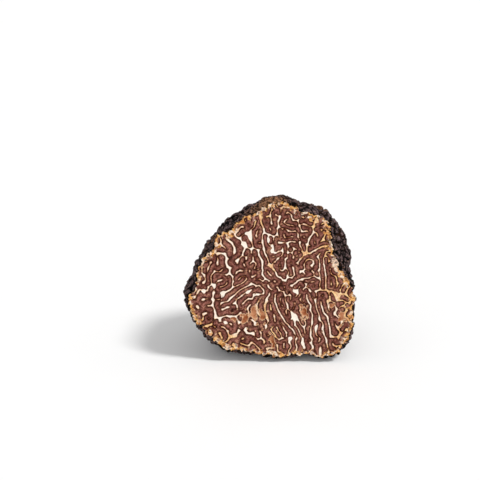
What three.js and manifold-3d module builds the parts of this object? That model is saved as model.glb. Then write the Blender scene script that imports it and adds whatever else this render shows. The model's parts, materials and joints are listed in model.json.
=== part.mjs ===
// Half of a black truffle, cut across with a knife: a lobed, knobbly body with one flat cut face.
// It rests on a small flat spot on its underside, and the cut face leans back a little.
//
// Units are millimetres and +Z is up. The cut face looks towards -Y. The origin is on the surface
// that the truffle rests on, under the middle of its bounding box.
//
// The body is first shaped in the cut's own frame: x runs right and y up in the plane of the cut,
// and z comes straight out of it, so the body lies behind it at negative z. It is then leaned back
// and its underside is cut flat.

import * as THREE from "three";
import { mergeVertices } from "three/addons/utils/BufferGeometryUtils.js";
import Module from "manifold-3d";

// Driving dimensions.
const DEPTH = 34; // from the cut to the furthest point behind it, before the lobes are added
const WIDEST_AT = 11; // how far behind the cut the truffle is widest
const LEAN = 6; // how far the cut leans back from upright, in degrees
const REST_DROP = 26.5; // from the middle of the cut down to the flat spot it rests on
const BACK_FULLNESS = 0.86; // below 1 the back is fuller than an ellipsoid, with squarer shoulders
const LOBES_FADE_IN = 7; // the lobes reach full height this far behind the cut

// How finely the body is faceted.
const SIDES = 90;
const FRONT_RINGS = 5;
const BACK_RINGS = 19;

// The rim of the cut, anticlockwise from the right.
const CUT_OUTLINE = [
  [25.6, 0.6], [27.6, -4.2], [27.0, -10], [26.8, -14.8], [24.6, -21.4],
  [21.4, -24.9], [15.4, -25.5], [8.4, -24.9], [2.6, -25.6], [-4.4, -23.7],
  [-12.2, -23], [-18, -20.4], [-22.8, -16.2], [-26, -11.2], [-27.6, -4.4],
  [-25.1, -1], [-25.2, 4.4], [-21.6, 9.6], [-18.9, 11.2], [-18.6, 15.4],
  [-13.4, 17.4], [-11.6, 20.6], [-6, 22.7], [-0.6, 26], [7.4, 25.4],
  [11, 22.8], [17, 21.2], [18.8, 17.4], [19.2, 10.8], [21.6, 4.6],
].reverse();

// The outline of the truffle where it is widest, in the same order.
const WIDEST_OUTLINE = [
  [26.8, 0], [27.2, -8], [26.8, -16], [22.8, -23.6], [13, -27],
  [0, -27.6], [-12, -26.2], [-21, -22.2], [-26.4, -15], [-28.4, -7],
  [-26.6, 1.6], [-22.4, 8.4], [-18.4, 14.2], [-11.6, 20.2], [-4.4, 25],
  [2, 27.2], [9.6, 25.8], [16.4, 22.4], [22, 17], [25.6, 9.4],
].reverse();

// Swellings, as a direction from the body's middle, how far each rises and how wide it is.
const LOBES = [
  { towards: [0.64, 0.46, -0.62], rise: 3.6, reach: 12 },
  { towards: [-0.78, 0.06, -0.62], rise: 2.6, reach: 11 },
  { towards: [0.4, -0.46, -0.8], rise: 2.8, reach: 10 },
  { towards: [-0.3, 0.7, -0.65], rise: 2, reach: 9 },
  { towards: [-0.42, -0.5, -0.76], rise: 2, reach: 8 },
  { towards: [-0.1, 0.26, -0.95], rise: 2.4, reach: 7 },
  { towards: [0.86, -0.3, -0.42], rise: 1.6, reach: 7 },
];

// Creases between the lobes. Each winds along the line where the plane with this normal, through
// the body's middle, meets the surface. It is deepest in one direction and fades away from it.
const CREASES = [
  { normal: [0.84, -0.4, 0.36], deepest: [0.24, 0.7, -0.66], depth: 4.8, width: 4.4, spread: 0.72 },
  { normal: [0.16, 0.94, 0.3], deepest: [-0.6, 0.2, -0.78], depth: 4, width: 4, spread: 0.62 },
  { normal: [0.66, 0.66, 0.34], deepest: [0.66, -0.16, -0.74], depth: 4.2, width: 4, spread: 0.6 },
];
const CREASE_WINDING = 1.6; // how far a crease wanders to each side of its plane
const CREASE_TURNS = 4; // how often it wanders on the way round the body

const MIDDLE = new THREE.Vector3(0, 0, -13); // the body's middle, in the cut's frame

const unit = (xyz) => new THREE.Vector3(...xyz).normalize();
const smooth = THREE.MathUtils.smoothstep;

// The distance from the middle of a closed outline to its edge, as a function of the angle.
function radiusOf(outline) {
  const points = outline.map(([x, y]) => new THREE.Vector3(x, y, 0));
  const curve = new THREE.CatmullRomCurve3(points, true, "centripetal");
  const edge = curve
    .getPoints(outline.length * 12)
    .map((p) => ({ angle: Math.atan2(p.y, p.x), radius: Math.hypot(p.x, p.y) }))
    .sort((a, b) => a.angle - b.angle);
  return (angle) => {
    const next = edge.findIndex((p) => p.angle > angle);
    const after = edge[next < 0 ? 0 : next];
    const before = edge[next <= 0 ? edge.length - 1 : next - 1];
    const turn = 2 * Math.PI;
    const gap = (after.angle - before.angle + turn) % turn || turn;
    const share = ((angle - before.angle + turn) % turn) / gap;
    return THREE.MathUtils.lerp(before.radius, after.radius, share);
  };
}

// The half section that is revolved: across the cut, along the sides to the widest place and round
// the back. A radius of 1 stands for the full outline.
function section() {
  const points = [new THREE.Vector2(0, 0), new THREE.Vector2(0.55, 0), new THREE.Vector2(1, 0)];
  for (let i = 1; i <= FRONT_RINGS; i++) {
    points.push(new THREE.Vector2(1, (WIDEST_AT * i) / FRONT_RINGS));
  }
  for (let i = 1; i <= BACK_RINGS; i++) {
    const turned = ((Math.PI / 2) * i) / BACK_RINGS;
    const radius = i === BACK_RINGS ? 0 : Math.cos(turned) ** BACK_FULLNESS;
    points.push(new THREE.Vector2(radius, WIDEST_AT + (DEPTH - WIDEST_AT) * Math.sin(turned)));
  }
  return points;
}

// How far the surface rises along its direction from the middle, from the lobes and creases.
function swelling(direction, place) {
  let rise = 0;
  for (const lobe of LOBES) {
    const crest = place.length() * direction.angleTo(unit(lobe.towards));
    rise += lobe.rise * Math.exp(-((crest / lobe.reach) ** 2));
  }
  for (const crease of CREASES) {
    const away = direction.angleTo(unit(crease.deepest));
    const wander = CREASE_WINDING * Math.sin(CREASE_TURNS * away + crease.width);
    const off = place.dot(unit(crease.normal)) + wander;
    rise -= crease.depth * Math.exp(-((off / crease.width) ** 2) - (away / crease.spread) ** 2);
  }
  return rise;
}

// The whole body behind the cut, in the cut's frame.
function bodyGeometry() {
  const lathe = new THREE.LatheGeometry(section(), SIDES);
  const cutRadius = radiusOf(CUT_OUTLINE);
  const widestRadius = radiusOf(WIDEST_OUTLINE);
  const position = lathe.getAttribute("position");
  const place = new THREE.Vector3();
  for (let i = 0; i < position.count; i++) {
    const depth = position.getY(i);
    const share = Math.hypot(position.getX(i), position.getZ(i));
    const angle = Math.atan2(position.getZ(i), position.getX(i));
    const widening = Math.sin((Math.PI / 2) * Math.min(1, depth / WIDEST_AT));
    const radius = share * THREE.MathUtils.lerp(cutRadius(angle), widestRadius(angle), widening);
    place.set(radius * Math.cos(angle), radius * Math.sin(angle), -depth).sub(MIDDLE);
    const direction = place.clone().normalize();
    const rise = swelling(direction, place) * smooth(depth, 0, LOBES_FADE_IN);
    place.addScaledVector(direction, rise).add(MIDDLE);
    position.setXYZ(i, place.x, place.y, Math.min(place.z, 0));
  }
  lathe.deleteAttribute("normal");
  lathe.deleteAttribute("uv");
  return mergeVertices(lathe, 1e-3);
}

const wasm = await Module();
wasm.setup();

function toSolid(geometry) {
  const merged = mergeVertices(geometry, 1e-4);
  return new wasm.Manifold(
    new wasm.Mesh({
      numProp: 3,
      vertProperties: new Float32Array(merged.getAttribute("position").array),
      triVerts: new Uint32Array(merged.index.array),
    }),
  );
}

function toGeometry(solid) {
  const mesh = solid.getMesh();
  const geometry = new THREE.BufferGeometry();
  geometry.setAttribute("position", new THREE.BufferAttribute(mesh.vertProperties, 3));
  geometry.setIndex(new THREE.BufferAttribute(mesh.triVerts, 1));
  return geometry;
}

// A slab that fills everything below the flat spot.
function groundGeometry() {
  const thickness = 20;
  const ground = new THREE.BoxGeometry(6 * DEPTH, 6 * DEPTH, thickness);
  ground.translate(0, 0, -REST_DROP - thickness / 2);
  ground.deleteAttribute("normal");
  ground.deleteAttribute("uv");
  return ground;
}

// The half truffle, leaned back with its underside cut flat, over the origin.
function halfGeometry() {
  const leaned = bodyGeometry();
  leaned.rotateX(Math.PI / 2 - THREE.MathUtils.degToRad(LEAN));
  const body = toSolid(leaned);
  const geometry = toGeometry(body.subtract(toSolid(groundGeometry())));
  geometry.computeBoundingBox();
  const middle = geometry.boundingBox.getCenter(new THREE.Vector3());
  geometry.translate(-middle.x, -middle.y, -geometry.boundingBox.min.z);
  geometry.computeVertexNormals();
  return geometry;
}

const truffleSkin = new THREE.MeshStandardMaterial({
  color: 0x2b2120,
  roughness: 0.8,
  metalness: 0,
});

const truffleHalf = new THREE.Mesh(halfGeometry(), truffleSkin);
truffleHalf.name = "truffle_half";

const group = new THREE.Group();
group.add(truffleHalf);

export default group;
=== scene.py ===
"""The looks of the black truffle half: warty black skin round a marbled cut face.

The CAD solid gives the body, the cut and the flat spot that it rests on. This script copies it,
raises warts on its skin, cuts it again on the same plane, fills the cut with flesh and grows the
pale veins in it. Lengths are in millimetres until the mesh is finished, and then in metres.
"""

import json
import math

import bmesh
import bpy
import numpy as np
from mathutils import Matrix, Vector, kdtree
from mathutils.geometry import delaunay_2d_cdt


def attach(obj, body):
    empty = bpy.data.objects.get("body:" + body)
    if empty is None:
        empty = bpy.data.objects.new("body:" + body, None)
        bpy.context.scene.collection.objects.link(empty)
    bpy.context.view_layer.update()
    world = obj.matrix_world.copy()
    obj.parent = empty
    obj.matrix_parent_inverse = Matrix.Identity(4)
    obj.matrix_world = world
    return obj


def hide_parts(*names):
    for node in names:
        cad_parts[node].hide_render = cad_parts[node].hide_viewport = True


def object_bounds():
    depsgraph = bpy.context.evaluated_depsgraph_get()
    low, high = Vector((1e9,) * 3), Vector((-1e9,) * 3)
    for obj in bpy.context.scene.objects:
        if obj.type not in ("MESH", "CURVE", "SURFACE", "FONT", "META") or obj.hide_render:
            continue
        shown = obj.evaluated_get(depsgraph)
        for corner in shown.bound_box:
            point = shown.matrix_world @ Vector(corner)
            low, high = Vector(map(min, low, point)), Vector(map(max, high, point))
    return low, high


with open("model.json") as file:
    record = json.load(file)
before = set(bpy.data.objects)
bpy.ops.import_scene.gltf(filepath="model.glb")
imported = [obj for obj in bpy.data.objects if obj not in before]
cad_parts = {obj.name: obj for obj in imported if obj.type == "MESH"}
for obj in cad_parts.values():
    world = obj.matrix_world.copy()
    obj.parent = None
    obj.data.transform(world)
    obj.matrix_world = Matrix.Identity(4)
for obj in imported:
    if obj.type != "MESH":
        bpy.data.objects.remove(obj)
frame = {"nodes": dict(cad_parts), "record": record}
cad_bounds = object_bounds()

NODE = "truffle_half"
MM = 0.001  # metres in a millimetre
SKIN_SLOT, FLESH_SLOT = 0, 1  # the two material slots of the mesh

# The skin.
SKIN_STEP = 0.37  # size of the skin's faces
SMOOTHING_ROUNDS = 12  # these take the facets off the CAD body
MERGE_DISTANCE = 0.001  # vertices of the CAD mesh this close together are one vertex
ON_CUT = 0.02  # a vertex this close to the cut's plane lies on the cut
CUT_OVERHANG = 3.0  # how far the body is carried past the cut before it is cut again
CUT_TOLERANCE = 1e-4
SHORTEST_RIM_EDGE = 0.09
WART_SPACING = (1.55, 2.35)  # least distance between two wart tips, where warts are small and large
WART_SIZE_LENGTH = 13.0  # how far it is, about, from large warts over small ones to large again
WART_DEPTH = 0.9
CREVICE_WIDTH = 0.13
WALL_SHARE = 0.6  # the share of a wart's height that its steep wall makes
WART_SHOULDER = 0.7  # how far from its edge a wart still rises
WART_TILT = 0.3  # how steeply the top of a wart may lean
WART_TILT_LIMIT = 0.22  # the most that leaning may raise or lower a place
WART_UNEVENNESS = 0.4  # how much lower one wart may stand than the next
WART_STRETCH = 0.55  # how far places are pushed about to make the warts long and uneven
WART_STRETCH_LENGTH = 7.5
RIDGE_HEIGHT = 0.07
RIDGE_LENGTH = 0.9
LUMP_HEIGHT = 0.45
LUMP_LENGTH = 9.0
FOLD_DEPTH = 1.0
FOLD_LENGTH = 24.0
FOLD_SHARPNESS = 0.16

# Where the skin is rubbed brown: a point near the skin and the reach.
WORN_SPOTS = [
    ((-1, -11, 52), 8), ((24, 6, 34), 5), ((-26, 2, 18), 6), ((-12, 16, 36), 7), ((10, 18, 14), 7),
    ((-22, -8, 40), 4), ((16, 2, 48), 4), ((26, -12, 14), 4),
]

# The flesh.
FLESH_STEP = 0.29  # spacing of the points on the cut face
GRID_JITTER = 0.12  # how far those points stray from an even grid, as a share of the step
RIM_CLEARANCE = 0.55  # how far they keep from the rim, as a share of the step
PLACE_TOLERANCE = 1e-5
FIELD_SIZE = 64.0  # side of the square that the veins are grown on
FIELD_CELLS = 512
VEIN_GAP = 1.85  # usual distance from vein to vein
WIDE_VEIN_GAP = 2.8  # the same where the veins stand further apart
GAP_VARIETY = 0.6  # how much the gap may differ, as a share of itself
GROWTH_STEPS = 5
SHARPENING = 1.5
UNTIDINESS = 0.6  # how much of the first noise is stirred in again at each step
STREAM_WEIGHT = 0.8  # how strongly a stream counts beside the flesh round it
ACROSS_STREAM = 0.35  # how freely veins still run across a stream
MAIN_VEIN_CORE = 0.3  # growth is held at its full height this close to a main vein
PATCH_CORE = 0.3  # and where a pale patch counts for more than this
HELD_HEIGHT = 1.6
MAIN_VEIN_REACH = 0.55  # how far to its sides a main vein makes veins stronger
VEIN_WANDER = 0.22  # how far a main vein strays from its straight course
WANDER_LENGTH = 3.6
VEIN_CREST = (0.78, 0.86)  # flesh turns into vein between these two heights of the field
WEB_REACH = 0.4  # how far around a place its share of vein is counted
HOLLOW_DEPTH = 0.45
HOLLOW_FLOOR = 0.6  # a hollow is at its full depth where it counts for more than this
HOLLOW_RAGGEDNESS = 0.4
VEIN_SINK = 0.06  # how much lower a vein lies than the flesh beside it
VEIN_SIDES = (0.6, 0.95)  # a vein's sides slope down between these two heights of the field
FLESH_RIPPLE = 0.05
FLESH_RIPPLE_LENGTH = 1.1
RIM_TAPER = 0.5  # the flesh starts level with the rim, and sinks over this distance from it


# ---------------------------------------------------------------- the cut face's map

# Places on the cut face, in millimetres right of and above the cut's middle.

MAIN_VEINS = [
    # From the upper rim down to the star near the middle, and the loops beside it.
    [(-3.5, 22), (-2.5, 18.7), (-2.1, 16.3), (-2.7, 14.3), (-2.1, 11), (-1.3, 8), (0, 5.8)],
    [(-2.1, 16.5), (-0.7, 15.5), (1.1, 15.3), (2.4, 16.3), (2.2, 18.3), (3, 22)],
    [(-4.1, 10.5), (-3.3, 8.7), (-2.5, 7.5), (-2.4, 5.5), (-2.7, 3.1), (-1.7, 1.5), (0.3, 0.9)],
    [(0, 5.6), (1.9, 7.7), (3.4, 9.1), (3.6, 10.7), (1.9, 9.9), (0.5, 10.5)],
    [(0, 5.6), (1.5, 3.7), (2.4, 1.9), (4.6, 1.3), (6.8, 2.3), (7.4, 3.7), (6.6, 5.5)],
    [(4, 3.7), (4.2, 5.9), (5, 7.9), (5.6, 9.9), (5.4, 11.9), (4.6, 13.3), (2.2, 13.1)],
    [(4.6, 13.3), (6.2, 13.9), (7.8, 13.1)],
    # Upper left.
    [(-11.5, 15.5), (-9.6, 14.3), (-8.2, 12.7), (-7.2, 11.5), (-4.1, 10.7), (-2.5, 11.1)],
    [(-8.4, 11.5), (-8.8, 9.5), (-10, 7.9)],
    [(-17.5, 9.9), (-14.7, 9.9), (-13.7, 8.7), (-14.1, 7.9), (-13.3, 5.5), (-12.7, 3.1),
     (-12.1, 0.7), (-12.3, -1.7), (-13.5, -3.1), (-15.1, -2.1)],
    # The star at the upper right and its rays.
    [(10.9, 9.5), (11.5, 12.3), (12, 14.7), (13.3, 16.7), (13.5, 19.5), (14.5, 21)],
    [(10.9, 9.5), (14.1, 10.9), (17.6, 12.3)],
    [(10.9, 9.5), (9.3, 7.5), (7.4, 6.3)],
    [(10.5, 9.9), (9.7, 11.5), (8.5, 15.5), (9.7, 16.9), (11.7, 16.7)],
    [(9.7, 17.5), (8.2, 19.9), (6.2, 21.5)],
    [(16.6, 7.9), (17, 5.5), (17.6, 2.3), (17.4, -0.5)],
    [(13.7, 6.9), (12.9, 4.7), (14.1, 3.5), (15.6, 4.7), (15.2, 6.7)],
    # Across the middle to the pale patch at the right.
    [(2.2, -0.9), (3.4, -2.5), (5.4, -4.1)],
    [(6.2, -0.9), (8.2, 0.3), (10.5, 1.9), (13.3, 2.3), (15.6, 1.5)],
    [(12.1, -2.5), (14.1, -2.5), (16, -1.9), (19.2, -2.7), (21.2, -3.7), (23.9, -3.3), (25.1, -1.3)],
    [(23.9, -3.3), (25.9, -5.3), (23.5, -6.9), (21.2, -8.5), (20, -6.1), (18.4, -5.7)],
    # The left side.
    [(-17.8, -0.5), (-18.4, -3.7), (-18, -6.9), (-17.8, -10.5), (-17.5, -11.7), (-15.5, -10.9),
     (-12.3, -10.5), (-10.4, -11.7), (-10, -14.5)],
    [(-17.6, -11.8), (-19.8, -14.1), (-22.2, -14.1)],
    [(-15.9, -6.5), (-13.5, -5.7), (-11.5, -4.1), (-9.6, -2.1), (-7.2, -0.5), (-5.2, -0.5)],
    [(-10.8, -4.9), (-8.4, -3.3), (-5.6, -2.1)],
    [(-5.6, -1.7), (-5.6, -3.7), (-4.1, -4.3), (-2.1, -3.3), (-2.1, -1.7)],
    # The star at the lower left.
    [(-19.8, -16.5), (-15.9, -20.5), (-11.7, -17.3), (-9.6, -15.7), (-6.8, -14.5), (-4.1, -13.7)],
    [(-15.5, -8.5), (-12.7, -7.7)],
    [(-12.3, -6.5), (-10.9, -5.9), (-10.6, -7.3)],
    [(-7.2, -16.5), (-5.4, -15.7), (-4.8, -17.3)],
    # The long veins that run down through the lower right.
    [(-0.1, -2.9), (-1.1, -4.9), (-1.5, -7.3), (-1.5, -10.1), (-0.9, -12.5), (-1.5, -15.3)],
    [(1.1, -3.7), (1.9, -6.5), (2.6, -8.9), (4.2, -12.1), (6.2, -14.1), (7.8, -16.1), (8.9, -18.1)],
    [(5.4, -6.5), (6.2, -8.9), (7.4, -10.9), (8, -13.3), (9.3, -16.1), (10.5, -18.5)],
    [(11.7, -3.7), (12.5, -6.5), (13.3, -10.5), (13.1, -13.7), (12.9, -17.3), (13.3, -20.5)],
    [(14.1, -4.9), (14.9, -8.9), (16.4, -12.5), (17, -16.5), (18.4, -19.7), (18.8, -23.7)],
    [(16, -6.5), (16.8, -8.9), (18.4, -11.7), (19, -14.5), (19, -17.7), (21.6, -17.1), (23.5, -16.5)],
    [(24.3, -8.5), (23.5, -11.7), (22.3, -14.5)],
]

# Pale patches: place, half width and half height.
PATCHES = [
    (-6.6, 15.7, 1.0, 1.3), (-8.2, 12.7, 0.8, 0.8), (0.5, 10.4, 0.7, 0.9), (-0.7, 14.2, 0.4, 0.8),
    (-3.3, 21.4, 0.5, 0.9), (6.4, -18.1, 1.0, 0.8), (7.8, -10.9, 1.0, 1.4), (21.4, -3.9, 1.3, 1.4),
    (7.8, -2.7, 0.8, 0.6), (-11.7, -17.3, 0.9, 0.7), (-15.3, -3.5, 0.6, 0.6), (10.5, -19.7, 0.5, 0.8),
    (14.5, -14.5, 0.4, 1.1), (-17.5, 12.7, 0.6, 0.8), (-21.8, 6.7, 0.7, 0.7), (-21.2, -2.5, 0.5, 0.9),
    (-7, -2.9, 0.6, 0.7), (-17.5, -18.1, 0.9, 0.6), (16, -22.8, 0.4, 1.1), (0, 5.7, 0.7, 0.6),
    (10.9, 9.5, 0.6, 0.6), (-14.3, -12.9, 0.5, 0.6), (-17.9, -0.8, 0.5, 0.6), (14.6, 19.8, 0.5, 0.7),
]

# Smooth tan hollows: place, half width and half height.
HOLLOWS = [
    (-5.1, -9.6, 1.1, 2.4), (-2.6, -10.6, 0.9, 2.2), (0.7, -18.7, 0.8, 2.0), (-8, -11.3, 1.3, 1.8),
    (10.6, -9.4, 1.1, 2.2), (-11.4, -11.6, 0.8, 0.8), (19.4, -7.4, 0.8, 0.9), (22.9, -11, 0.9, 2.2),
]

# Where the veins turn golden: place and reach.
GOLDEN = [
    (19, -3, 5), (24.5, -6, 5), (17.6, 12, 4), (10.9, 9.3, 3), (-1.8, -9, 4), (0.6, -17, 3.5),
    (-19.5, -15.5, 5), (-13, -20, 5), (-3.4, 21, 3), (0.2, 5.4, 2), (16, 19, 4), (23, -18, 4),
]

# Streams that the small veins follow: place, reach and direction in degrees.
STREAMS = [
    (14, -13, 11, -78), (4, -11, 6, -62), (-12, -2, 7, 38), (20, 2, 5, -85), (-2.5, 9, 5, -75),
]

# Where the veins stand further apart: place and reach.
OPEN_FLESH = [(-21, -7, 8), (-14, 11, 7), (-8, -13, 8), (22, -14, 6)]


# ---------------------------------------------------------------- smooth random fields


def waves(points, length, seed, count=14):
    """A smooth random value about -1 to 1 at each point, with bumps about as long as length."""
    rng = np.random.default_rng(seed)
    total = np.zeros(len(points))
    for _ in range(count):
        direction = rng.normal(size=points.shape[1])
        direction *= rng.uniform(0.7, 1.4) * 2 * np.pi / (length * np.linalg.norm(direction))
        total += np.cos(points @ direction + rng.uniform(0, 2 * np.pi))
    return total / math.sqrt(count)


def ease(value, low, high):
    """0 below low, 1 above high and a smooth rise between."""
    share = np.clip((value - low) / (high - low), 0, 1)
    return share * share * (3 - 2 * share)


# ---------------------------------------------------------------- the body


def cut_plane():
    """A point on the cut, in millimetres, and the direction that the cut faces."""
    mount = next(m for m in frame["record"]["mounts"] if m["name"] == "cut_face")
    facing = np.array(mount["axis"], float)
    return np.array(mount["pos_m"], float) / MM, facing / np.linalg.norm(facing)


CUT_POINT, CUT_FACING = cut_plane()
CUT_RIGHT = np.array([1.0, 0.0, 0.0])
CUT_UP = np.cross(CUT_FACING, CUT_RIGHT)


def on_cut(points):
    """Places right of and above the cut's middle, for points in the row frame."""
    offset = points - CUT_POINT
    return np.stack([offset @ CUT_RIGHT, offset @ CUT_UP], axis=1)


def off_cut(places):
    """The points in the row frame at these places on the cut."""
    return CUT_POINT + places[:, :1] * CUT_RIGHT + places[:, 1:] * CUT_UP


def coordinates(mesh):
    flat = np.empty(3 * len(mesh.vertices))
    mesh.vertices.foreach_get("co", flat)
    return flat.reshape(-1, 3)


def set_coordinates(mesh, points):
    mesh.vertices.foreach_set("co", points.ravel())
    mesh.update()


def body_mesh():
    """The CAD body, carried past the cut and divided into small even faces."""
    shape = bmesh.new()
    shape.from_mesh(frame["nodes"][NODE].data)
    bmesh.ops.scale(shape, vec=(1 / MM,) * 3, verts=shape.verts)
    bmesh.ops.remove_doubles(shape, verts=shape.verts, dist=MERGE_DISTANCE)
    for vertex in shape.verts:
        if abs((np.array(vertex.co) - CUT_POINT) @ CUT_FACING) < ON_CUT:
            vertex.co += Vector(CUT_FACING) * CUT_OVERHANG
    mesh = bpy.data.meshes.new("body")
    shape.to_mesh(mesh)
    shape.free()
    body = bpy.data.objects.new("body", mesh)
    bpy.context.scene.collection.objects.link(body)
    remesh = body.modifiers.new("remesh", "REMESH")
    remesh.mode = "VOXEL"
    remesh.voxel_size = SKIN_STEP
    settled = body.evaluated_get(bpy.context.evaluated_depsgraph_get())
    even = bpy.data.meshes.new_from_object(settled)
    bpy.data.objects.remove(body)
    smooth_mesh(even)
    return even


def smooth_mesh(mesh):
    """Moves each vertex halfway to the middle of its neighbours, several times."""
    edges = np.empty(2 * len(mesh.edges), int)
    mesh.edges.foreach_get("vertices", edges)
    ends = np.concatenate([edges.reshape(-1, 2), edges.reshape(-1, 2)[:, ::-1]])
    points = coordinates(mesh)
    neighbours = np.bincount(ends[:, 0], minlength=len(points))[:, None]
    for _ in range(SMOOTHING_ROUNDS):
        middle = np.stack(
            [np.bincount(ends[:, 0], points[ends[:, 1], axis], len(points)) for axis in range(3)],
            axis=1,
        )
        points = 0.5 * (points + middle / neighbours)
    set_coordinates(mesh, points)


def vertex_normals(mesh):
    flat = np.empty(3 * len(mesh.vertices))
    mesh.vertex_normals.foreach_get("vector", flat)
    return flat.reshape(-1, 3)


# ---------------------------------------------------------------- the warts


def wart_tips(points):
    """Points scattered over the skin, no two closer than the spacing there."""
    least, most = WART_SPACING
    share = 0.5 + 0.5 * np.clip(waves(points, WART_SIZE_LENGTH, seed=3), -1, 1)
    spacing = least + (most - least) * share
    # The tips are kept in cells as wide as the most, so only the nearest cells are looked through.
    taken = {}
    tips = []
    for i in np.random.default_rng(11).permutation(len(points)):
        point = points[i]
        home = tuple((point // most).astype(int))
        near = [
            tip
            for x in range(home[0] - 1, home[0] + 2)
            for y in range(home[1] - 1, home[1] + 2)
            for z in range(home[2] - 1, home[2] + 2)
            for tip in taken.get((x, y, z), ())
        ]
        if all((tip - point) @ (tip - point) > spacing[i] ** 2 for tip in near):
            taken.setdefault(home, []).append(point)
            tips.append(point)
    return np.array(tips)


def nearest(points, tips, count):
    """The numbers of the nearest tips to each point, nearest first."""
    tree = kdtree.KDTree(len(tips))
    for number, tip in enumerate(tips):
        tree.insert(tip, number)
    tree.balance()
    return np.array([[found[1] for found in tree.find_n(point, count)] for point in points])


def border_distance(points, tips, own, other):
    """How far each point is from the border between its own wart and another, and the way there."""
    across = tips[other] - tips[own]
    width = np.linalg.norm(across, axis=1, keepdims=True)
    across = across / np.maximum(width, 1e-9)
    middle = 0.5 * (tips[other] + tips[own])
    return np.sum((middle - points) * across, axis=1), across


def pushed_about(points):
    """The points moved a little to and fro, which stretches and squeezes the warts between them."""
    pushes = [waves(points, WART_STRETCH_LENGTH, seed=61 + axis) for axis in range(3)]
    return points + WART_STRETCH * np.stack(pushes, axis=1)


def raise_warts(mesh):
    """Shapes the skin. Returns where each vertex was before, and how high on its wart it is."""
    points = coordinates(mesh)
    normals = vertex_normals(mesh)
    smooth_points = points.copy()
    tips = wart_tips(points)
    pushed_tips = pushed_about(tips)
    own, *others = nearest(pushed_about(points), pushed_tips, count=4).T

    # Vertices close to a border move onto it, so that crevices run along edges of the mesh.
    distance, across = border_distance(pushed_about(points), pushed_tips, own, others[0])
    snapped = (distance < 0.5 * SKIN_STEP) & (own < others[0])
    points[snapped] += (across * distance[:, None])[snapped]

    pushed = pushed_about(points)
    edges = [border_distance(pushed, pushed_tips, own, other)[0] for other in others]
    edge = np.maximum(np.min(edges, axis=0), 0)
    walls = 1 - np.exp(-edge / CREVICE_WIDTH)
    roof = np.minimum(edge / WART_SHOULDER, 1)
    height = WALL_SHARE * walls + (1 - WALL_SHARE) * roof

    rng = np.random.default_rng(5)
    lower = rng.uniform(0, WART_UNEVENNESS, len(tips))[own]
    leans = rng.normal(0, WART_TILT, (len(tips), 3))[own]
    lean = np.sum((points - tips[own]) * leans, axis=1)
    lean = WART_TILT_LIMIT * np.tanh(lean / WART_TILT_LIMIT) * walls
    ridges = RIDGE_HEIGHT * waves(points, RIDGE_LENGTH, seed=23) * walls

    lump = LUMP_HEIGHT * waves(points, LUMP_LENGTH, seed=7)
    fold = -FOLD_DEPTH * np.exp(-((waves(points, FOLD_LENGTH, seed=19) / FOLD_SHARPNESS) ** 2))
    sink = -LUMP_HEIGHT - WART_DEPTH * (1 - height) - lower
    points += normals * (sink + lean + ridges + lump + fold)[:, None]
    # Nothing goes below the floor.
    points[:, 2] = np.maximum(points[:, 2], 0)
    set_coordinates(mesh, points)
    return smooth_points, height


# ---------------------------------------------------------------- the cut


def cut_body(mesh, smooth_points, height):
    """The part of the body behind the cut, and the vertices round the rim of the cut in order."""
    shape = bmesh.new()
    shape.from_mesh(mesh)
    before = shape.verts.layers.float_vector.new("smooth_place")
    rise = shape.verts.layers.float.new("rise")
    for vertex, place, value in zip(shape.verts, smooth_points, height):
        vertex[before] = place
        vertex[rise] = value
    everything = shape.verts[:] + shape.edges[:] + shape.faces[:]
    bmesh.ops.bisect_plane(
        shape,
        geom=everything,
        dist=CUT_TOLERANCE,
        plane_co=CUT_POINT,
        plane_no=CUT_FACING,
        clear_outer=True,
    )
    keep_largest_part(shape)
    rim_edges = [edge for edge in shape.edges if edge.is_boundary]
    short = [edge for edge in rim_edges if edge.calc_length() < SHORTEST_RIM_EDGE]
    bmesh.ops.collapse(shape, edges=short, uvs=False)
    loose = [vertex for vertex in shape.verts if not vertex.link_faces]
    bmesh.ops.delete(shape, geom=loose, context="VERTS")
    return shape, rim_loop(shape)


def keep_largest_part(shape):
    """Drops any loose crumbs of skin that the cut left in front of the body."""
    unseen = set(shape.verts)
    parts = []
    while unseen:
        part = {unseen.pop()}
        front = list(part)
        while front:
            vertex = front.pop()
            for edge in vertex.link_edges:
                other = edge.other_vert(vertex)
                if other in unseen:
                    unseen.discard(other)
                    part.add(other)
                    front.append(other)
        parts.append(part)
    parts.sort(key=len)
    crumbs = [vertex for part in parts[:-1] for vertex in part]
    bmesh.ops.delete(shape, geom=crumbs, context="VERTS")


def rim_loop(shape):
    """The vertices along the longest open edge of the body, in order."""
    rim = {vertex: [] for vertex in shape.verts if vertex.is_boundary}
    for edge in shape.edges:
        if edge.is_boundary:
            rim[edge.verts[0]].append(edge.verts[1])
            rim[edge.verts[1]].append(edge.verts[0])
    loops = []
    unseen = set(rim)
    for start in rim:
        if start not in unseen:
            continue
        unseen.discard(start)
        loop = [start]
        while True:
            onward = [vertex for vertex in rim[loop[-1]] if vertex in unseen]
            if not onward:
                break
            loop.append(onward[0])
            unseen.discard(onward[0])
        loops.append(loop)
    return max(loops, key=len)


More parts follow.
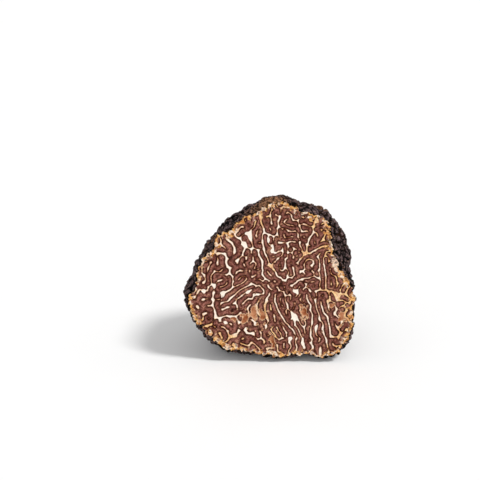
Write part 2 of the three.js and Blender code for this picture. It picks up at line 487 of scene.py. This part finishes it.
def face_places(rim):
    """A loose triangular grid of places inside the rim."""
    low, high = rim.min(axis=0), rim.max(axis=0)
    row_step = FLESH_STEP * math.sqrt(0.75)
    rows = np.arange(low[1], high[1], row_step)
    columns = np.arange(low[0], high[0], FLESH_STEP)
    shift = 0.5 * FLESH_STEP * (np.arange(len(rows)) % 2)
    across = columns[None, :] + shift[:, None]
    grid = np.stack([across, np.broadcast_to(rows[:, None], across.shape)], axis=2).reshape(-1, 2)
    jitter = np.random.default_rng(2).uniform(-GRID_JITTER, GRID_JITTER, grid.shape)
    grid += jitter * FLESH_STEP
    inside = np.zeros(len(grid), bool)
    for start, end in zip(rim, np.roll(rim, -1, axis=0)):
        spans = (grid[:, 1] < start[1]) != (grid[:, 1] < end[1])
        rise = end[1] - start[1]
        crossing = start[0] + (grid[:, 1] - start[1]) * (end[0] - start[0]) / (rise or 1)
        inside ^= spans & (grid[:, 0] < crossing)
    return grid[inside & (rim_distance(grid, rim) > RIM_CLEARANCE * FLESH_STEP)]


def rim_distance(places, rim):
    """How far each place on the cut is from the rim."""
    tree = kdtree.KDTree(len(rim))
    for number, (x, y) in enumerate(rim):
        tree.insert((x, y, 0), number)
    tree.balance()
    return np.array([tree.find((x, y, 0))[2] for x, y in places])


def fill_cut(shape, loop):
    """Fills the cut with small triangles.

    Returns the vertices on the cut, their places on it, and the places round the rim.
    """
    rim = on_cut(np.array([vertex.co[:] for vertex in loop]))
    inner = face_places(rim)
    places = [Vector(place) for place in np.concatenate([rim, inner])]
    closed = [(i, (i + 1) % len(rim)) for i in range(len(rim))]
    inside_only = 1
    out_places, _, triangles, origins, _, _ = delaunay_2d_cdt(
        places, closed, [], inside_only, PLACE_TOLERANCE
    )
    before = shape.verts.layers.float_vector["smooth_place"]
    vertices = []
    for place, origin in zip(out_places, origins):
        if origin and origin[0] < len(loop):
            vertices.append(loop[origin[0]])
            continue
        vertex = shape.verts.new(off_cut(np.array([place]))[0])
        vertex[before] = vertex.co
        vertices.append(vertex)
    for triangle in triangles:
        face = shape.faces.new([vertices[i] for i in triangle])
        face.material_index = FLESH_SLOT
    # The rim between skin and flesh stays a sharp edge.
    for edge in shape.edges:
        if len({face.material_index for face in edge.link_faces}) == 2:
            edge.smooth = False
    return vertices, np.array([place[:] for place in out_places]), rim


# ---------------------------------------------------------------- the veins


def field_places():
    """The places of the grid's cells, row by row."""
    half = 0.5 * FIELD_SIZE
    steps = np.linspace(-half, half, FIELD_CELLS, endpoint=False)
    across, up = np.meshgrid(steps, steps)
    return np.stack([across.ravel(), up.ravel()], axis=1)


def spots(places, table, raggedness=0.2):
    """1 at the middle of each oval spot in the table, 0 at its ragged edge and less outside it."""
    best = np.full(len(places), -9.0)
    bulges = waves(places, length=2.4, seed=31)
    crinkles = waves(places, length=0.9, seed=33)
    wobble = 1 + raggedness * (bulges + 0.4 * crinkles)
    for x, y, half_width, half_height in table:
        off = np.hypot((places[:, 0] - x) / half_width, (places[:, 1] - y) / half_height)
        best = np.maximum(best, 1 - off * wobble)
    return best


def near_any(places, table):
    """How much each place belongs to the soft round regions in the table, from 0 to 1."""
    total = np.zeros(len(places))
    for x, y, reach in table:
        off = np.hypot(places[:, 0] - x, places[:, 1] - y)
        total = np.maximum(total, np.exp(-((off / reach) ** 2)))
    return total


def vein_distance(places):
    """How far each place is from the nearest main vein, after the veins have been made to wander."""
    straying = [waves(places, WANDER_LENGTH, seed=seed) for seed in (41, 43)]
    strayed = places + VEIN_WANDER * np.stack(straying, axis=1)
    best = np.full(len(places), 1e9)
    for vein in MAIN_VEINS:
        for start, end in zip(vein, vein[1:]):
            start, end = np.array(start), np.array(end)
            along = end - start
            share = np.clip((strayed - start) @ along / (along @ along), 0, 1)
            off = strayed - start - share[:, None] * along
            best = np.minimum(best, np.einsum("ij,ij->i", off, off))
    return np.sqrt(best)


class Growth:
    """Lets veins grow on a square grid.

    Noise is filtered and sharpened a few times, so that it starts to settle into winding lines an
    even gap apart, but stays as untidy as the real thing.
    """

    def __init__(self, places):
        self.places = places
        self.square = (FIELD_CELLS, FIELD_CELLS)
        frequency = np.fft.fftfreq(FIELD_CELLS, FIELD_SIZE / FIELD_CELLS)
        self.across, self.up = np.meshgrid(frequency, frequency)
        self.size = np.hypot(self.across, self.up)
        open_share = near_any(places, OPEN_FLESH)
        self.filters = [self.ring(VEIN_GAP), self.ring(WIDE_VEIN_GAP)]
        self.shares = [1 - open_share, open_share]
        bearing = np.arctan2(self.up, self.across)
        for x, y, reach, direction in STREAMS:
            turned = bearing - math.radians(direction + 90)
            self.filters.append(self.ring(VEIN_GAP) * (ACROSS_STREAM + np.cos(turned) ** 4))
            self.shares.append(STREAM_WEIGHT * near_any(places, [(x, y, reach)]))
        total = np.sum(self.shares, axis=0)
        self.shares = [(share / total).reshape(self.square) for share in self.shares]

    def ring(self, gap):
        """Lets through waves about as long as the gap, whichever way they run."""
        return np.exp(-(((self.size * gap - 1) / GAP_VARIETY) ** 2))

    def filtered(self, field):
        """The field with only the waves that veins are made of, each kind where it belongs."""
        spectrum = np.fft.fft2(field)
        total = sum(
            share * np.fft.ifft2(kept * spectrum).real
            for kept, share in zip(self.filters, self.shares)
        )
        return total / total.std()

    def grown(self):
        """The field's height, which peaks along each vein, and its two slopes a quarter wave on.

        The height over the length of all three is the same on every vein's middle, strong or faint.
        """
        distance = vein_distance(self.places).reshape(self.square)
        patches = spots(self.places, PATCHES).reshape(self.square)
        held = (distance < MAIN_VEIN_CORE) | (patches > PATCH_CORE)
        noise = np.random.default_rng(17).normal(size=self.square)
        untidy = UNTIDINESS * self.filtered(noise)
        field = noise
        for _ in range(GROWTH_STEPS):
            field = np.tanh(SHARPENING * (self.filtered(field) + untidy))
            field[held] = HELD_HEIGHT
        height = self.filtered(field)
        spectrum = np.fft.fft2(height) / np.maximum(self.size, 1e-9)
        slopes = [np.fft.ifft2(-1j * way * spectrum).real for way in (self.across, self.up)]
        return np.stack([height, *slopes], axis=2)

    def web(self, veins):
        """How much vein there is round each place: most at a junction, least at a vein's end."""
        crest = veins[:, :, 0] / np.linalg.norm(veins, axis=2)
        spread = np.exp(-2 * (np.pi * WEB_REACH * self.size) ** 2)
        share = np.fft.ifft2(spread * np.fft.fft2(ease(crest, *VEIN_CREST))).real
        return share[:, :, None]


def sampled(field, places):
    """The field's values at these places on the cut."""
    cells = (places / FIELD_SIZE + 0.5) * FIELD_CELLS
    low = np.clip(np.floor(cells).astype(int), 0, FIELD_CELLS - 2)
    part = cells - low
    x, y = low[:, 0], low[:, 1]
    right, up = part[:, :1], part[:, 1:]
    below = field[y, x] * (1 - right) + field[y, x + 1] * right
    above = field[y + 1, x] * (1 - right) + field[y + 1, x + 1] * right
    return below * (1 - up) + above * up


# ---------------------------------------------------------------- the piece


def chart_of(normal):
    """Which side of the body a face is on: a name for each side of a box."""
    x, y, z = normal
    if abs(x) >= max(y, abs(z)):
        return "right" if x > 0 else "left"
    if y > abs(z):
        return "back"
    return "top" if z > 0 else "bottom"


# Each side's part of the texture: its lower left corner, its scale and the two ways across it.
CHART_SIDE = 150.0
CHARTS = {
    "face": ((2, 2), 1.5, (0, 2)),
    "left": ((2, 88), 1.0, (1, 2)),
    "right": ((45, 88), 1.0, (1, 2)),
    "back": ((90, 2), 1.0, (0, 2)),
    "top": ((90, 60), 1.0, (0, 1)),
    "bottom": ((90, 104), 1.0, (0, 1)),
}


def add_texture_map(shape):
    """A texture map that lays out each side of the body flat, as it was before the warts."""
    before = shape.verts.layers.float_vector["smooth_place"]
    texture = shape.loops.layers.uv.new("OFBake")
    lowest = np.array(cad_bounds[0]) / MM
    for face in shape.faces:
        corners = [vertex[before] for vertex in face.verts]
        if face.material_index == FLESH_SLOT:
            chart = "face"
        else:
            chart = chart_of((corners[1] - corners[0]).cross(corners[2] - corners[1]))
        corner, scale, ways = CHARTS[chart]
        for loop in face.loops:
            place = loop.vert[before]
            loop[texture].uv = [
                (corner[k] + scale * (place[ways[k]] - lowest[ways[k]])) / CHART_SIDE
                for k in range(2)
            ]


def add_values(mesh, name, values):
    attribute = mesh.attributes.new(name, "FLOAT", "POINT")
    attribute.data.foreach_set("value", values.astype(np.float32))


def add_vectors(mesh, name, vectors):
    attribute = mesh.attributes.new(name, "FLOAT_VECTOR", "POINT")
    attribute.data.foreach_set("vector", vectors.astype(np.float32).ravel())


def worn_skin(points):
    """How brown and rubbed the skin is, from 0 to 1."""
    worn = np.zeros(len(points))
    for middle, reach in WORN_SPOTS:
        off = np.linalg.norm(points - np.array(middle, float), axis=1)
        worn = np.maximum(worn, np.exp(-((off / reach) ** 2)))
    return worn


def smooth_places(shape, vertices):
    """Where these vertices were before the warts were raised."""
    before = shape.verts.layers.float_vector["smooth_place"]
    return np.array([vertex[before][:] for vertex in vertices])


def build_truffle():
    body = body_mesh()
    smooth_points, height = raise_warts(body)
    shape, loop = cut_body(body, smooth_points, height)
    skin_line = on_cut(smooth_places(shape, loop))
    vertices, places, rim = fill_cut(shape, loop)

    growth = Growth(field_places())
    vein_field = growth.grown()
    veins = sampled(vein_field, places)
    web = sampled(growth.web(vein_field), places)[:, 0]
    crest = veins[:, 0] / np.linalg.norm(veins, axis=1)
    hollows = spots(places, HOLLOWS, HOLLOW_RAGGEDNESS)
    sunk = HOLLOW_DEPTH * ease(hollows, 0, HOLLOW_FLOOR)
    sunk += FLESH_RIPPLE * waves(places, FLESH_RIPPLE_LENGTH, seed=51)
    sunk += VEIN_SINK * ease(crest, *VEIN_SIDES)
    sunk *= ease(rim_distance(places, rim), 0, RIM_TAPER)
    for vertex, depth in zip(vertices, sunk):
        vertex.co -= Vector(CUT_FACING * depth)

    add_texture_map(shape)
    shape.verts.index_update()
    numbers = np.array([vertex.index for vertex in vertices])
    count = len(shape.verts)
    worn = worn_skin(smooth_places(shape, shape.verts))
    for face in shape.faces:
        face.smooth = True
    mesh = bpy.data.meshes.new("truffle")
    shape.to_mesh(mesh)
    shape.free()

    def spread(values, elsewhere):
        """These values of the cut's vertices, with another value for the rest of the mesh."""
        everywhere = np.full((count, *values.shape[1:]), float(elsewhere))
        everywhere[numbers] = values
        return everywhere

    main_vein = np.exp(-((vein_distance(places) / MAIN_VEIN_REACH) ** 2))
    add_vectors(mesh, "vein", spread(veins, -1))
    add_values(mesh, "main_vein", spread(main_vein, 0))
    add_values(mesh, "web", spread(web, 0))
    add_values(mesh, "under_skin", spread(rim_distance(places, skin_line), 0))
    add_values(mesh, "patch", spread(spots(places, PATCHES), -1))
    add_values(mesh, "hollow", spread(hollows, -1))
    add_values(mesh, "golden", spread(near_any(places, GOLDEN), 0))
    add_values(mesh, "worn", worn)
    set_coordinates(mesh, coordinates(mesh) * MM)
    mesh.materials.append(skin_material())  # SKIN_SLOT
    mesh.materials.append(flesh_material())  # FLESH_SLOT
    truffle = bpy.data.objects.new("warty_half", mesh)
    bpy.context.scene.collection.objects.link(truffle)
    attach(truffle, "root")
    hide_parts(NODE)


# ---------------------------------------------------------------- materials

# The shader's specular level. The pale studio would veil the blacks if these were higher.
SKIN_GLOSS = 0.04
FLESH_GLOSS = 0.03


def colour(code):
    """A colour from its six-figure web code, as the linear values that shaders use."""
    parts = [int(code[i : i + 2], 16) / 255 for i in (0, 2, 4)]
    return tuple(p / 12.92 if p <= 0.04045 else ((p + 0.055) / 1.055) ** 2.4 for p in parts) + (1,)


class Paint:
    """A material whose colour, roughness and bump are built up from nodes."""

    def __init__(self, name):
        self.material = bpy.data.materials.new(name)
        self.material.use_nodes = True
        self.tree = self.material.node_tree
        self.shader = self.tree.nodes["Principled BSDF"]
        self.place = self.tree.nodes.new("ShaderNodeTexCoord").outputs["Object"]

    def put(self, socket, value):
        """Links another node's output to the socket, or sets the socket's own value."""
        if isinstance(value, bpy.types.NodeSocket):
            self.tree.links.new(value, socket)
        else:
            socket.default_value = value

    def attribute(self, name):
        node = self.tree.nodes.new("ShaderNodeAttribute")
        node.attribute_name = name
        return node.outputs["Fac"]

    def crest(self, name):
        """A vector attribute's first part over its length."""
        node = self.tree.nodes.new("ShaderNodeAttribute")
        node.attribute_name = name
        length = self.tree.nodes.new("ShaderNodeVectorMath")
        length.operation = "LENGTH"
        self.put(length.inputs[0], node.outputs["Vector"])
        parts = self.tree.nodes.new("ShaderNodeSeparateXYZ")
        self.put(parts.inputs[0], node.outputs["Vector"])
        return self.calc("DIVIDE", parts.outputs["X"], length.outputs["Value"])

    def noise(self, size, detail=2.0, roughness=0.5, distortion=0.0):
        """Noise from 0 to 1 with bumps of this size in millimetres."""
        node = self.tree.nodes.new("ShaderNodeTexNoise")
        self.put(node.inputs["Vector"], self.place)
        node.inputs["Scale"].default_value = 1 / (size * MM)
        node.inputs["Detail"].default_value = detail
        node.inputs["Roughness"].default_value = roughness
        node.inputs["Distortion"].default_value = distortion
        return node.outputs["Fac"]

    def step(self, value, low, high, start=0.0, end=1.0):
        """start where the value is low, end where it is high, and smooth between.

        low may be the greater of the two, and then start is what great values get.
        """
        node = self.tree.nodes.new("ShaderNodeMapRange")
        node.interpolation_type = "SMOOTHSTEP"
        self.put(node.inputs["Value"], value)
        node.inputs["From Min"].default_value = low
        node.inputs["From Max"].default_value = high
        node.inputs["To Min"].default_value = start
        node.inputs["To Max"].default_value = end
        return node.outputs["Result"]

    def calc(self, operation, *values):
        node = self.tree.nodes.new("ShaderNodeMath")
        node.operation = operation
        for socket, value in zip(node.inputs, values):
            self.put(socket, value)
        return node.outputs["Value"]

    def times(self, first, second):
        return self.calc("MULTIPLY", first, second)

    def plus(self, value, extra, share=1.0):
        """The value with a share of another added to it."""
        return self.calc("MULTIPLY_ADD", extra, share, value)

    def mix(self, share, first, second):
        node = self.tree.nodes.new("ShaderNodeMix")
        node.data_type = "RGBA"
        self.put(node.inputs["Factor"], share)
        self.put(node.inputs["A"], first)
        self.put(node.inputs["B"], second)
        return node.outputs["Result"]

    def bump(self, height, distance):
        """Bumps up to this distance in millimetres."""
        node = self.tree.nodes.new("ShaderNodeBump")
        node.inputs["Distance"].default_value = distance * MM
        self.put(node.inputs["Height"], height)
        self.put(self.shader.inputs["Normal"], node.outputs["Normal"])


def skin_material():
    paint = Paint("truffle_skin")
    rise = paint.attribute("rise")
    worn = paint.attribute("worn")
    grain = paint.step(paint.noise(0.3, detail=4, roughness=0.65), 0.3, 0.7)
    fibres = paint.step(paint.noise(0.8, detail=4, roughness=0.7, distortion=1.5), 0.3, 0.7)
    mottle = paint.step(paint.noise(2.0, detail=3), 0.36, 0.64)

    # Painted shade and light: the black skin is painted near black in the crevices between the warts,
    # as if shaded, and a mottled lighter grey black on the wart tops, as if lit.
    crevice_shade = paint.mix(mottle, colour("040303"), colour("0c0706"))
    top = paint.mix(mottle, colour("171114"), colour("6d585a"))
    # The share of lit top colour over painted crevice shade, by height on the wart.
    raised = paint.times(paint.step(rise, 0.58, 1.0), paint.step(fibres, 0.1, 0.6, start=0.3))
    black = paint.mix(raised, crevice_shade, top)

    # Painted highlight: grey brown is painted on the fibres high on the warts, where the light would
    # catch them.
    painted_highlight = paint.times(paint.step(fibres, 0.45, 0.95, end=0.8), paint.step(rise, 0.55, 0.9))
    with_highlights = paint.mix(painted_highlight, black, colour("8e7672"))

    # Soil lodges between the warts, and flecks of it lie all over them.
    clods = paint.step(paint.noise(4.5), 0.5, 0.62, end=0.55)
    soiled = paint.mix(paint.times(paint.step(rise, 0.8, 0.3), clods), with_highlights, colour("44281a"))
    flecks = paint.step(paint.noise(0.8, detail=2, distortion=1.2), 0.66, 0.71, end=0.75)
    flecked = paint.mix(flecks, soiled, colour("a87450"))

    # Rubbed places show the brown under the black, mostly on the tips.
    patchy = paint.plus(worn, paint.step(fibres, 0.1, 0.9, start=-0.45, end=0.3))
    on_tips = paint.step(rise, 0.4, 0.9, start=0.25, end=0.95)
    rubbed = paint.times(paint.step(patchy, 0.3, 0.8), on_tips)
    brown = paint.mix(grain, colour("5f3924"), colour("d39c74"))

    paint.put(paint.shader.inputs["Base Color"], paint.mix(rubbed, flecked, brown))
    paint.put(paint.shader.inputs["Roughness"], paint.step(grain, 0.0, 1.0, start=0.5, end=0.75))
    paint.put(paint.shader.inputs["Specular IOR Level"], SKIN_GLOSS)
    paint.bump(paint.plus(grain, fibres), 0.12)
    return paint.material


def flesh_material():
    paint = Paint("truffle_flesh")
    crest = paint.crest("vein")
    web = paint.attribute("web")
    main_vein = paint.attribute("main_vein")
    patch = paint.attribute("patch")
    hollow = paint.attribute("hollow")
    golden = paint.attribute("golden")
    under_skin = paint.attribute("under_skin")
    fine = paint.step(paint.noise(0.25, detail=3, roughness=0.7), 0.3, 0.7)
    speckle = paint.step(paint.noise(0.6, detail=4, roughness=0.7), 0.34, 0.66)
    broad = paint.step(paint.noise(4.0, detail=3), 0.38, 0.62, end=0.45)
    ragged = paint.step(paint.noise(1.1, detail=4, roughness=0.7), 0.25, 0.75)
    uneven = paint.step(paint.noise(2.2, detail=2), 0.32, 0.68)

    light = paint.mix(speckle, colour("54211a"), colour("c18171"))
    brown = paint.mix(broad, light, colour("5c291d"))

    # Faint threads show here and there between the veins.
    winding = paint.noise(2.6, detail=2, roughness=0.6, distortion=0.6)
    off_middle = paint.calc("ABSOLUTE", paint.calc("SUBTRACT", winding, 0.5))
    here_and_there = paint.step(paint.noise(1.6), 0.46, 0.56, end=0.7)
    thread = paint.times(paint.step(off_middle, 0.03, 0.01), here_and_there)
    brown = paint.mix(thread, brown, colour("d09a78"))

    # Dark edges run beside the veins, darkest beside the broadest.
    edged = paint.step(paint.plus(crest, speckle, 0.45), -0.95, 0.2)
    beside = paint.times(edged, paint.step(web, 0.0, 0.3, start=0.5))
    beside = paint.times(beside, paint.step(paint.noise(1.7), 0.36, 0.58, start=0.8))
    brown = paint.mix(beside, brown, colour("1a0201"))

    # Smooth hollows are tan, and pale at their edges.
    into_hollow = paint.plus(hollow, speckle, 0.25)
    tan = paint.mix(uneven, colour("96512f"), colour("cc8d66"))
    tan = paint.mix(paint.step(into_hollow, 0.15, 0.55), colour("f3c9a0"), tan)
    brown = paint.mix(paint.step(into_hollow, 0.05, 0.25), brown, tan)

    # The veins thin out and break up here and there, taper at their ends, widen where they meet
    # or make a pale patch, and stay out of the hollows.
    strength = paint.plus(crest, main_vein, 0.12)
    strength = paint.plus(strength, web, 1.7)
    strength = paint.plus(strength, paint.step(patch, -0.9, 0.5), 1.5)
    strength = paint.plus(strength, paint.step(hollow, 0.05, 0.35), -1.5)
    strength = paint.plus(strength, uneven, -0.24)
    strength = paint.plus(strength, speckle, 0.1)

    # From its edge to its middle a vein is rusty, then thin and pinkish, then thick and cream.
    rusty = paint.step(strength, 1.19, 1.36, end=0.85)
    brown = paint.mix(rusty, brown, colour("b56a41"))
    line = paint.step(strength, 1.31, 1.41)
    bold = paint.step(strength, 1.44, 1.66)
    thin = paint.mix(fine, colour("da9b70"), colour("fbd3b0"))
    thick = paint.mix(fine, colour("ffe9cf"), colour("fffdf8"))
    cream = paint.mix(bold, thin, thick)
    gold = paint.plus(golden, ragged, 0.5)
    gold = paint.plus(gold, paint.step(under_skin, 7.0, 2.5), 0.5)
    gold = paint.step(gold, 0.5, 1.2, end=0.85)
    pale = paint.mix(gold, cream, paint.mix(speckle, colour("d98443"), colour("ffdb96")))
    flesh = paint.mix(line, brown, pale)

    # A ragged pale fringe lies under the skin.
    near_skin = paint.plus(paint.plus(under_skin, ragged, 1.8), uneven, 1.5)
    golden_fringe = paint.mix(speckle, colour("b8682e"), colour("ffca7a"))
    cream_fringe = paint.mix(speckle, colour("e6ba90"), colour("fff4e4"))
    creamy = paint.step(paint.noise(1.4, detail=2), 0.46, 0.6)
    fringe = paint.mix(creamy, golden_fringe, cream_fringe)
    blotch = paint.step(paint.noise(1.3, detail=2), 0.36, 0.5, start=0.3)
    fringed = paint.times(paint.step(near_skin, 4.2, 3.2), blotch)
    flesh = paint.mix(fringed, flesh, fringe)

    # The cut skin itself is a dark line round the flesh.
    edge = paint.plus(paint.plus(under_skin, ragged, 0.6), uneven, 0.8)
    flesh = paint.mix(paint.step(edge, 1.75, 1.6), flesh, colour("0c0706"))

    paint.put(paint.shader.inputs["Base Color"], flesh)
    paint.put(paint.shader.inputs["Roughness"], paint.step(fine, 0.0, 1.0, start=0.5, end=0.7))
    paint.put(paint.shader.inputs["Specular IOR Level"], FLESH_GLOSS)
    relief = paint.plus(paint.plus(fine, speckle, 1.2), line, -0.5)
    paint.bump(relief, 0.08)
    return paint.material


def floor_material():
    paint = Paint("white_surface")
    tint = paint.mix(paint.noise(40, detail=1), colour("f8f8f8"), colour("fcfcfc"))
    paint.put(paint.shader.inputs["Base Color"], tint)
    paint.put(paint.shader.inputs["Roughness"], 0.8)
    return paint.material


# ---------------------------------------------------------------- the setting

CAMERA_ELEVATION = 17.0  # degrees
CAMERA_LENS = 85.0
SENSOR = 36.0
VIEW_WIDTH = 159.0  # width of what the camera sees at the truffle
TRUFFLE_OFFSET = (9.7, -8.6)  # the truffle's middle is this far right of and above the view's
FLOOR_RADIUS = 4.0  # metres
WARM_WHITE = (1.0, 0.992, 0.982)
COOL_WHITE = (0.97, 0.98, 1.0)


def add_floor():
    bpy.ops.mesh.primitive_circle_add(vertices=96, radius=FLOOR_RADIUS, fill_type="NGON")
    floor = bpy.context.object
    floor.name = "white_surface"
    floor.data.materials.append(floor_material())


def add_sun(name, towards, strength, spread, tint):
    """A sun, which lights the floor evenly all the way to the horizon.

    It shines towards this direction. Its spread, in degrees, softens the shadow.
    """
    light = bpy.data.lights.new(name, "SUN")
    light.energy = strength
    light.angle = math.radians(spread)
    light.color = tint
    lamp = bpy.data.objects.new(name, light)
    lamp.rotation_euler = Vector(towards).to_track_quat("-Z", "Y").to_euler()
    bpy.context.scene.collection.objects.link(lamp)


def add_sky():
    """White round the horizon and dimmer overhead, like a studio with pale walls."""
    world = bpy.data.worlds.new("studio")
    world.use_nodes = True
    tree = world.node_tree
    direction = tree.nodes.new("ShaderNodeTexCoord").outputs["Generated"]
    parts = tree.nodes.new("ShaderNodeSeparateXYZ")
    tree.links.new(direction, parts.inputs[0])
    fall = tree.nodes.new("ShaderNodeMapRange")
    fall.interpolation_type = "SMOOTHSTEP"
    tree.links.new(parts.outputs["Z"], fall.inputs["Value"])
    for name, value in {"From Min": 0.1, "From Max": 0.5, "To Min": 1.02, "To Max": 0.5}.items():
        fall.inputs[name].default_value = value
    tree.links.new(fall.outputs["Result"], tree.nodes["Background"].inputs["Strength"])
    tree.nodes["Background"].inputs["Color"].default_value = (1, 1, 1, 1)
    bpy.context.scene.world = world


def add_lights():
    add_sun("key", towards=(-0.55, 0.25, -0.8), strength=1.9, spread=14, tint=WARM_WHITE)
    add_sun("front_fill", towards=(0.15, 0.9, -0.35), strength=0.5, spread=40, tint=COOL_WHITE)
    add_sky()


def add_camera():
    low, high = (np.array(corner) for corner in cad_bounds)
    lift = math.radians(CAMERA_ELEVATION)
    back = np.array([0, -math.cos(lift), math.sin(lift)])
    up = np.array([0, math.sin(lift), math.cos(lift)])
    right = np.array([1.0, 0, 0])
    aim = 0.5 * (low + high) - MM * (TRUFFLE_OFFSET[0] * right + TRUFFLE_OFFSET[1] * up)
    distance = MM * VIEW_WIDTH * CAMERA_LENS / SENSOR
    data = bpy.data.cameras.new("camera")
    data.lens = CAMERA_LENS
    data.sensor_width = SENSOR
    data.clip_start = 0.01
    camera = bpy.data.objects.new("camera", data)
    camera.location = aim + distance * back
    camera.rotation_euler = Vector(-back).to_track_quat("-Z", "Y").to_euler()
    bpy.context.scene.collection.objects.link(camera)
    bpy.context.scene.camera = camera


build_truffle()
add_floor()
add_lights()
add_camera()
bpy.context.scene.view_settings.view_transform = "Standard"
